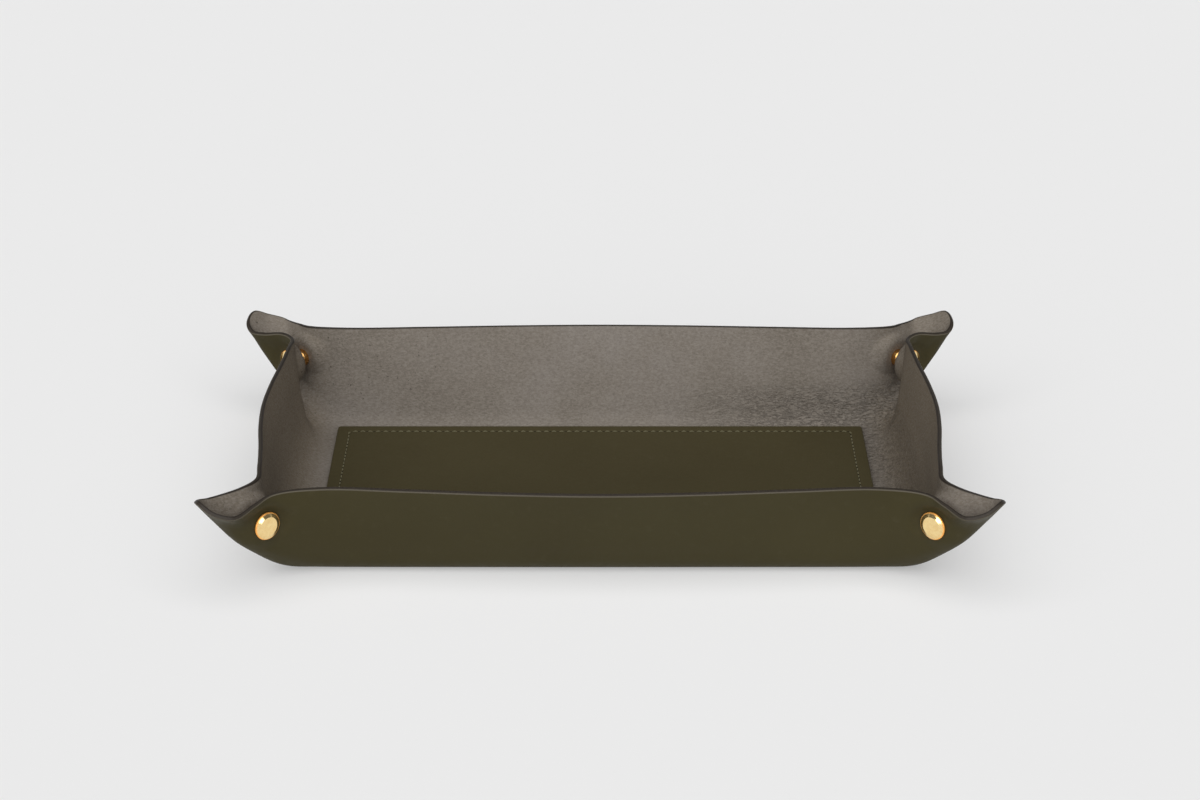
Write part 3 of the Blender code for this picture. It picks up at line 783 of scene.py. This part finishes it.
def flapPlanes(corner):
    # Start and end of the three ways in which the long wall's layer comes loose at a corner
    mirror = np.array((*corners[corner], 1))
    half = snapDirection * flap["pinchHalf"]
    foot = np.array((snapMiddle[0], snapMiddle[1], 0))
    ways = {
        "pinch": (snapMiddle - half, snapMiddle + half),
        "foot": (foot + (0, 0, flap["footStart"]), foot + (0, 0, flap["footEnd"])),
        "wall": [np.array((flap[key], *snapMiddle[1:])) for key in ("wallStart", "wallEnd")],
    }
    return {name: (start * mirror, end * mirror) for name, (start, end) in ways.items()}


def linear(start, end):
    # The ramp as a plane: its value is point times gradient minus offset
    gradient = (end - start) / ((end - start) @ (end - start))
    return gradient, gradient @ start


def trimmed(work, gradient, offset):
    # Keeps what lies where the value is positive, and closes the cut
    size = norm(gradient)
    bmesh.ops.bisect_plane(
        work, geom=work.verts[:] + work.edges[:] + work.faces[:], dist=flap["weld"],
        plane_co=Vector(gradient / size * offset / size), plane_no=Vector(gradient / size),
        clear_inner=True,
    )
    openEdges = [e for e in work.edges if e.is_boundary]
    made = bmesh.ops.holes_fill(work, edges=openEdges, sides=0)["faces"]
    for face in made:
        face.material_index, face.smooth = 2, False


def makeFlaps(leather):
    # One piece for each way: where all three ramps are positive and its own is the least
    made = {}
    for corner in corners:
        ramps = {name: linear(*ends) for name, ends in flapPlanes(corner).items()}
        for name, (gradient, offset) in ramps.items():
            work = bmesh.new()
            work.from_mesh(leather.data)
            for other in ("wall", "foot", "pinch"):
                trimmed(work, *ramps[other])
            for other in ramps:
                if other != name:
                    trimmed(work, ramps[other][0] - gradient, ramps[other][1] - offset)
            mesh = leather.data.copy()
            mesh.name = f"{corner}_flap_{name}"
            work.to_mesh(mesh)
            work.free()
            made[corner, name] = addObject(mesh.name, mesh)
    return made


def makeFlapCutter():
    work = bmesh.new()
    for corner in corners:
        part = bmesh.new()
        bmesh.ops.create_cube(part, size=flap["room"])
        for start, end in flapPlanes(corner).values():
            trimmed(part, *linear(start, end))
        wedge = addFromWork("wedge", part)
        work.from_mesh(wedge.data)
        dropObject(wedge)
    return addFromWork("wedges", work)


def makeShading(whole, fromRim):
    # What the pieces need to look like one surface: the whole sheet's triangles, its smooth normals
    # and how far each place is from the cut edge
    mesh = whole.data
    mesh.calc_loop_triangles()
    triangles = readArray(mesh.loop_triangles, "vertices", int)
    points = readArray(mesh.vertices, "co")
    tree = BVHTree.FromPolygons(points.tolist(), triangles.tolist())
    return tree, triangles, points, readArray(mesh.vertices, "normal"), fromRim


def shadeLikeWhole(thing, shading):
    tree, triangles, points, normals, fromRim = shading
    mesh = thing.data
    smooth, distances = [], []
    for vertex in mesh.vertices:
        place, _, index, _ = tree.find_nearest(vertex.co)
        corner = triangles[index]
        shares = barycentric(np.array(place), *points[corner])
        normal = shares @ normals[corner]
        smooth.append(normal / norm(normal))
        distances.append(shares @ fromRim[corner])
    custom = []  # a face that the whole sheet doesn't have there is a cut, and stays flat
    for face in mesh.polygons:
        flat = np.array(face.normal)
        for vertex in face.vertices:
            normal = smooth[vertex]
            custom.append(tuple(normal if normal @ flat > 0.5 else flat))
    mesh.normals_split_custom_set(custom)
    mesh.attributes.new("fromRim", "FLOAT", "POINT").data.foreach_set("value", distances)


def barycentric(p, a, b, c):
    ab, ac, ap = b - a, c - a, p - a
    d00, d01, d11, d20, d21 = ab @ ab, ab @ ac, ac @ ac, ap @ ab, ap @ ac
    bottom = d00 * d11 - d01 * d01
    if bottom < 1e-30:
        return np.array((1.0, 0.0, 0.0))
    v = np.clip((d11 * d20 - d01 * d21) / bottom, 0, 1)
    w = np.clip((d00 * d21 - d01 * d20) / bottom, 0, 1 - v)
    return np.array((1 - v - w, v, w))


shading = makeShading(wholeLeather, fromRim)
cutWithObject(wholeLeather, makeHoleCutter())
flaps = makeFlaps(wholeLeather)
leatherSheet = addObject("leather_sheet", wholeLeather.data.copy())
cutWithObject(leatherSheet, makeFlapCutter())
dropObject(wholeLeather)
for piece in (leatherSheet, *flaps.values()):
    shadeLikeWhole(piece, shading)
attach(leatherSheet, "tray")
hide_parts("leather_body")
for (corner, name), piece in flaps.items():
    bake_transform(piece)
print("leather sheet and", len(flaps), "flap pieces")


# The pad on the floor

def makePad():
    bottom, radius = sheet["thickness"] + pad["lift"], pad["edgeRadius"]
    top, under = bottom + pad["thickness"], radius * pad["underEdge"]
    loops = [(under, bottom), (0, bottom + under)]
    for angle in np.linspace(0, pi / 2, pad["edgeSteps"]):
        loops.append((radius * (1 - cos(angle)), top - radius * (1 - sin(angle))))
    loops.append((radius * pad["edgeMargin"], top))
    rows = [
        roundedRectangle(
            pad["length"] - 2 * inset, pad["width"] - 2 * inset, pad["cornerRadius"] - inset, height
        )
        for inset, height in loops
    ]
    half, depth = pad["grooveWidth"] / 2, pad["grooveDepth"]
    for share in np.linspace(-1, 1, pad["grooveSteps"]):
        rows.append(stitchLine(-share * half, top - depth * (1 + cos(share * pi)) / 2))
    rows.append(stitchLine(-half * pad["grooveMargin"], top))
    return joinLoops("floor_pad", rows, (padLitCopyLeather,), True)


floorPad = makePad()
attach(floorPad, "tray")
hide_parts("base_pad")


# The stitches, as a Geometry Nodes tree along the stitching line

def addFinish(tree, geometry, material):
    real = addStep(tree, "GeometryNodeRealizeInstances", {"Geometry": geometry})
    smooth = addStep(tree, "GeometryNodeSetShadeSmooth", {"Geometry": real})
    return addStep(tree, "GeometryNodeSetMaterial", {"Geometry": smooth, "Material": material})


def makeStitchTree():
    # An arched thread at every place, turned a little by chance, and between two threads a flat, very dark
    # blob that paints the shade of a needle hole
    tree, given, made = startTree(
        "stitchRow", "GeometryNodeTree",
        (("Geometry", "Geometry", None), ("Pitch", "Float", 3.7 * mm), ("Length", "Float", 2.6 * mm),
         ("Width", "Float", 0.7 * mm), ("Height", "Float", 0.5 * mm), ("Turn", "Float", 0.05),
         ("Seed", "Int", 1), ("Hole Size", "Vector", None), ("Material", "Material", None),
         ("Hole Shade Material", "Material", None)),
        (("Geometry", "Geometry"),),
    )
    course = addStep(tree, "GeometryNodeInputTangent")
    places = addStep(tree, "GeometryNodeResampleCurve", {
        "Curve": addStep(tree, "GeometryNodeMeshToCurve", {"Mesh": given["Geometry"]}),
        "Length": given["Pitch"],
    }, mode="LENGTH")
    along = addStep(tree, "FunctionNodeAlignRotationToVector", {"Vector": course}, axis="X", pivot_axis="Z")
    chance = addNode(tree, "FunctionNodeRandomValue", {
        2: times(tree, given["Turn"], -1.0), 3: given["Turn"], "Seed": given["Seed"],
    }, data_type="FLOAT").outputs[1]
    small = addStep(tree, "FunctionNodeEulerToRotation", {"Euler": addVector(tree, {"Z": chance})})
    turned = addStep(
        tree, "FunctionNodeRotateRotation", {"Rotation": along, "Rotate By": small}, rotation_space="LOCAL"
    )
    half = times(tree, given["Length"], 0.5)
    line = addStep(tree, "GeometryNodeCurvePrimitiveLine", {
        "Start": addVector(tree, {"X": times(tree, half, -1.0)}), "End": addVector(tree, {"X": half}),
    })
    fine = addStep(tree, "GeometryNodeResampleCurve", {"Curve": line, "Count": stitches["samples"]})
    share = addStep(tree, "GeometryNodeSplineParameter")
    side = addMath(tree, "SUBTRACT", times(tree, share, 2.0), 1.0)
    square = times(tree, side, side)
    lift = times(tree, addMath(tree, "SUBTRACT", 0.5, square), given["Height"])
    raised = addStep(tree, "GeometryNodeSetPosition", {
        "Geometry": fine, "Offset": addVector(tree, {"Z": lift}),
    })
    thinner = times(tree, times(tree, square, square), stitches["taper"])
    radius = times(tree, addMath(tree, "SUBTRACT", 1.0, thinner), times(tree, given["Width"], 0.5))
    ring = addStep(tree, "GeometryNodeCurvePrimitiveCircle", {
        "Resolution": stitches["sides"], "Radius": 1.0,
    })
    body = addStep(tree, "GeometryNodeCurveToMesh", {
        "Curve": raised, "Profile Curve": ring, "Scale": radius, "Fill Caps": True,
    })
    placed = addStep(tree, "GeometryNodeInstanceOnPoints", {
        "Points": places, "Instance": body, "Rotation": turned,
    })
    shift = addStep(tree, "ShaderNodeVectorMath", {
        "Vector": course, "Scale": times(tree, given["Pitch"], 0.5),
    }, operation="SCALE")
    between = addStep(tree, "GeometryNodeSetPosition", {"Geometry": places, "Offset": shift})
    # The needle holes: flat dark blobs of painted shade, not recesses in the leather
    ball = addStep(tree, "GeometryNodeMeshUVSphere", {"Segments": 10, "Rings": 6, "Radius": 1.0})
    hole = addStep(tree, "GeometryNodeTransform", {"Geometry": ball, "Scale": given["Hole Size"]})
    pricked = addStep(tree, "GeometryNodeInstanceOnPoints", {
        "Points": between, "Instance": hole, "Rotation": along,
    })
    both = addNode(tree, "GeometryNodeJoinGeometry")
    for row, material in ((placed, "Material"), (pricked, "Hole Shade Material")):
        tree.links.new(addFinish(tree, row, given[material]), both.inputs["Geometry"])
    tree.links.new(both.outputs["Geometry"], made["Geometry"])
    return tree


def runTree(name, source, tree, values):
    modifier = source.modifiers.new("nodes", "NODES")
    modifier.node_group = tree
    for item in tree.interface.items_tree:
        if item.item_type == "SOCKET" and item.in_out == "INPUT" and item.name in values:
            modifier[item.identifier] = values[item.name]
    mesh = evaluatedMesh(source, name)
    dropObject(source)
    return addObject(name, mesh)


def loopObject(name, points, closed):
    count = len(points)
    edges = [(k, (k + 1) % count) for k in range(count if closed else count - 1)]
    return addMesh(name, points, edges=edges)


def makeStitches(name, height, upwards):
    line = loopObject("stitchLine", stitchLine(0, height), True)
    return runTree(name, line, stitchTree, {
        "Pitch": stitches["pitch"], "Length": stitches["length"], "Width": stitches["width"],
        "Height": stitches["height"] * upwards, "Turn": stitches["turn"], "Seed": stitches["seed"],
        "Hole Size": stitches["holeSize"], "Material": thread, "Hole Shade Material": needleHoleShade,
    })


stitchTree = makeStitchTree()
padTop = sheet["thickness"] + pad["lift"] + pad["thickness"]
topStitches = makeStitches("pad_stitches", padTop - stitches["sink"] - pad["grooveDepth"] / 2, 1)
lowStitches = makeStitches("underside_stitches", stitches["height"] / 2 + stitches["width"] / 2, -1)
for piece, node in ((topStitches, "pad_stitching_top"), (lowStitches, "pad_stitching_bottom")):
    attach(piece, "tray")
    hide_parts(node)
print("pad and stitches")


# The press studs: turned pieces, spun from their profiles by a Geometry Nodes tree

def makeTurnedTree():
    tree, given, made = startTree(
        "turnedPiece", "GeometryNodeTree",
        (("Geometry", "Geometry", None), ("Steps", "Int", 64), ("Place", "Vector", None),
         ("Turn", "Rotation", None), ("Material", "Material", None)),
        (("Geometry", "Geometry"),),
    )
    profile, steps = given["Geometry"], given["Steps"]
    count = addNode(
        tree, "GeometryNodeAttributeDomainSize", {"Geometry": profile}, component="MESH"
    ).outputs["Point Count"]
    grid = addStep(tree, "GeometryNodeMeshGrid", {
        "Vertices X": addMath(tree, "ADD", steps, 1.0), "Vertices Y": count,
    })
    index = addStep(tree, "GeometryNodeInputIndex")
    ring = addMath(tree, "FLOOR", addMath(tree, "DIVIDE", addMath(tree, "ADD", index, 0.5), count))
    read = addNode(tree, "GeometryNodeSampleIndex", {
        "Geometry": profile, "Value": addStep(tree, "GeometryNodeInputPosition"),
        "Index": addMath(tree, "SUBTRACT", index, times(tree, ring, count)),
    }, data_type="FLOAT_VECTOR", domain="POINT").outputs["Value"]
    parts = addNode(tree, "ShaderNodeSeparateXYZ", {"Vector": read}).outputs
    angle = times(tree, addMath(tree, "DIVIDE", ring, steps), 2 * pi)
    spun = addVector(tree, {
        "X": times(tree, parts["X"], addMath(tree, "COSINE", angle)),
        "Y": times(tree, parts["X"], addMath(tree, "SINE", angle)), "Z": parts["Z"],
    })
    moved = addStep(tree, "GeometryNodeSetPosition", {"Geometry": grid, "Position": spun})
    kept = addStep(tree, "GeometryNodeStoreNamedAttribute", {
        "Geometry": moved, "Name": "spinRadius", "Value": parts["X"],
    }, data_type="FLOAT", domain="POINT")
    merged = addStep(tree, "GeometryNodeMergeByDistance", {"Geometry": kept, "Distance": 0.001 * mm})
    placed = addStep(tree, "GeometryNodeTransform", {
        "Geometry": merged, "Translation": given["Place"], "Rotation": given["Turn"],
    })
    tree.links.new(addFinish(tree, placed, given["Material"]), made["Geometry"])
    return tree


def softened(profile, radius, steps=5, closed=False):
    # Rounds each inner corner over at most a share of the shorter flat beside it, and sets one more
    # point on both flats just outside the rounding
    points = [np.array(p, float) for p in profile]
    count = len(points)
    made = []
    for i, here in enumerate(points):
        if not closed and i in (0, count - 1):
            made.append(here)
            continue
        back, ahead = points[i - 1] - here, points[(i + 1) % count] - here
        lengths = norm(back), norm(ahead)
        cut = min(radius, studs["roundingShare"] * min(lengths))
        a, b = here + back / lengths[0] * cut, here + ahead / lengths[1] * cut
        made.append(here + back / lengths[0] * cut * studs["roundingMargin"])
        for t in np.linspace(0, 1, steps):
            made.append((1 - t) ** 2 * a + 2 * t * (1 - t) * here + t**2 * b)
        made.append(here + ahead / lengths[1] * cut * studs["roundingMargin"])
    return made


def capProfile(postEnd):
    cap, face, post, rim = (studs[key] for key in ("capRadius", "faceRadius", "postRadius", "rimHeight"))
    seat = halfGap + sheet["thickness"] + clearance / 3
    top = seat + studs["capHeight"] + clearance * 2 / 3
    slope = studs["capHeight"] - rim
    return softened([
        (0, top), (face, top), ((face + cap) / 2, top - slope * studs["slopeShare"]), (cap, top - slope),
        (cap, seat + rim / 3), (cap - rim / 3, seat), (post, seat), (post, postEnd), (0, postEnd),
    ], studs["capRounding"])


def socketProfile():
    outside, mouthRadius, bore = (studs[key] for key in ("socketRadius", "mouthRadius", "boreRadius"))
    leatherEnd = halfGap - clearance / 3
    mouth = boreEnd - studs["boreDepth"]
    shoulder = (leatherEnd + mouth) / 2
    half = wireRadius + clearance
    groove = springRadius + wireRadius + clearance
    return softened([
        (mouthRadius, mouth), ((outside + mouthRadius) / 2, (shoulder + mouth) / 2), (outside, shoulder),
        (outside, leatherEnd), (postHole, leatherEnd), (postHole, boreEnd), (bore, boreEnd),
        (bore, springHeight + half), (groove, springHeight + half), (groove, springHeight - half),
        (bore, springHeight - half), (bore, mouth),
    ], studs["socketRounding"], closed=True)


def studProfile():
    base, neck, rise = studs["baseRadius"], studs["neckRadius"], studs["baseHeight"]
    shelf = studFoot + rise
    return softened([
        (0, studFoot + studs["recess"]), (postHole, studFoot + studs["recess"]), (postHole, studFoot),
        (base, studFoot), (base, shelf - rise / 3), (base - rise / 3, shelf), (neck, shelf),
        (neck, (shelf + springHeight) / 2), (studs["headRadius"], springHeight),
        (studs["tipRadius"], studTip), (0, studTip),
    ], studs["studRounding"])


def makeTurned(name, corner, profile, material, steps, closed=False, flipped=False):
    points = [(radius, 0, height) for radius, height in profile]
    if closed:
        points.append(points[0])
    place = snapFrame(corner, flipped)
    piece = runTree(name, loopObject("profile", points, False), turnedTree, {
        "Steps": steps, "Place": place.to_translation(), "Turn": place.to_euler(), "Material": material,
    })
    turnOutwards(piece.data)
    return piece


def makeSpring(name, corner):
    # A split ring of wire in the socket's groove
    turns = 1 - studs["springGap"] / (2 * pi)
    place = snapFrame(corner)
    steps, around = studs["springSteps"], studs["springSides"]
    rings = []
    for k in range(steps + 1):
        angle = studs["springGap"] / 2 + 2 * pi * turns * k / steps
        ring = []
        for j in range(around):
            turn = 2 * pi * j / around
            radius = springRadius + wireRadius * cos(turn)
            height = springHeight + wireRadius * sin(turn)
            ring.append(place @ Vector((radius * cos(angle), radius * sin(angle), height)))
        rings.append(ring)
    return joinLoops(name, rings, (steel,), True)


turnedTree = makeTurnedTree()
cap, socket, stud = capProfile(boreEnd + clearance), socketProfile(), studProfile()
backCap = capProfile(-studFoot - studs["recess"] + clearance)
fineSteps, plainSteps = studs["capSteps"], studs["innerSteps"]
for corner in corners:
    node = corner + "_snap_"
    layer = corner + "_layer"
    pieces = (
        (makeTurned(corner + "_cap", corner, cap, brass, fineSteps), layer, "cap", "polished_brass"),
        (makeTurned(corner + "_socket_barrel", corner, socket, pinchShadeBrass, plainSteps, closed=True),
         layer, "socket", "polished_brass"),
        (makeSpring(corner + "_ring_spring", corner), layer, "spring", "spring_steel"),
        (makeTurned(corner + "_stud_post", corner, stud, pinchShadeBrass, plainSteps),
         "tray", "stud", "polished_brass"),
        (makeTurned(corner + "_back_button", corner, backCap, brass, fineSteps, flipped=True),
         "tray", "back_cap", "polished_brass"),
    )
    for piece, body, part, slot in pieces:
        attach(piece, body)
        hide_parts(node + part)
print("press studs")


# The floor, the light and the camera

stage = {
    "floorSize": 8.0, "floorColour": (0.5, 0.5, 0.5), "floorRoughness": 0.9, "floorGlow": 0.335,
    "skyStrength": 0.04, "roomStrength": 0.16,
    "horizonStrength": 0.75, "horizonHeights": (0.12, 0.25), "horizonWays": (-0.15, 0.05),
    "panelStrength": 3.0, "panelPlace": (0.65, -0.745, 0.15), "panelEdge": (0.973, 0.987),
    "sunStrength": 4.0, "sunAngle": radians(100), "sunPlace": (-0.09, -0.67, 0.735),
    "cameraPlace": (0, -1.187, 0.5845), "cameraTilt": radians(24.3), "lens": 86.1, "sensor": 36.0,
}
white = (1, 1, 1, 1)


def makeStage():
    half = stage["floorSize"] / 2
    outline = [(-half, -half, 0), (half, -half, 0), (half, half, 0), (-half, half, 0)]
    material, tree, _ = startMaterial("palePaper")
    for name, value in (
        ("Base Color", (*stage["floorColour"], 1)), ("Roughness", stage["floorRoughness"]),
        ("Specular IOR Level", 0.0), ("Emission Color", white), ("Emission Strength", stage["floorGlow"]),
    ):
        tree.nodes["Principled BSDF"].inputs[name].default_value = value
    floor = addMesh("paleFloor", outline, [(0, 1, 2, 3)], (material,))


def makeWorld():
    # Even light for dull surfaces; what is polished mirrors a dim room with a bright horizon behind
    # the tray and a lit panel at each side of the camera
    world = bpy.data.worlds.new("softStudio")
    bpy.context.scene.world = world
    world.use_nodes = True
    tree = world.node_tree
    even = tree.nodes["Background"]
    even.inputs["Color"].default_value = white
    even.inputs["Strength"].default_value = stage["skyStrength"]
    way = addNode(tree, "ShaderNodeSeparateXYZ", {
        "Vector": addNode(tree, "ShaderNodeTexCoord").outputs["Generated"],
    }).outputs
    mirrored = addVector(tree, {
        "X": addMath(tree, "ABSOLUTE", way["X"]), "Y": way["Y"], "Z": way["Z"],
    })
    closeness = addNode(
        tree, "ShaderNodeVectorMath", {0: mirrored, 1: stage["panelPlace"]}, operation="DOT_PRODUCT"
    ).outputs["Value"]
    panel = times(tree, addRange(tree, closeness, *stage["panelEdge"]), stage["panelStrength"])
    low = addRange(tree, way["Z"], *stage["horizonHeights"], 1.0, 0.0)
    behind = addRange(tree, way["Y"], *stage["horizonWays"])
    horizon = times(tree, times(tree, low, behind), stage["horizonStrength"])
    lit = addMath(tree, "ADD", panel, horizon)
    room = addStep(tree, "ShaderNodeBackground", {
        "Color": white, "Strength": addMath(tree, "ADD", lit, stage["roomStrength"]),
    })
    mix = addStep(tree, "ShaderNodeMixShader", {
        "Fac": addNode(tree, "ShaderNodeLightPath").outputs["Is Glossy Ray"],
        1: even.outputs["Background"], 2: room,
    })
    tree.links.new(mix, tree.nodes["World Output"].inputs["Surface"])


def makeKeyLight():
    # One very wide soft light in front, a little to the left
    sun = bpy.data.lights.new("softKey", "SUN")
    sun.energy, sun.angle = stage["sunStrength"], stage["sunAngle"]
    turn = Vector(stage["sunPlace"]).to_track_quat("Z", "Y").to_euler()
    addObject("softKey", sun).rotation_euler = turn


def makeCamera():
    lens = bpy.data.cameras.new("photoView")
    lens.lens, lens.sensor_width = stage["lens"], stage["sensor"]
    camera = addObject("photoView", lens)
    camera.location = stage["cameraPlace"]
    camera.rotation_euler = (pi / 2 - stage["cameraTilt"], 0, 0)
    bpy.context.scene.camera = camera


makeStage()
makeWorld()
makeKeyLight()
makeCamera()
bpy.context.scene.view_settings.view_transform = "Standard"
print("stage, light and camera")
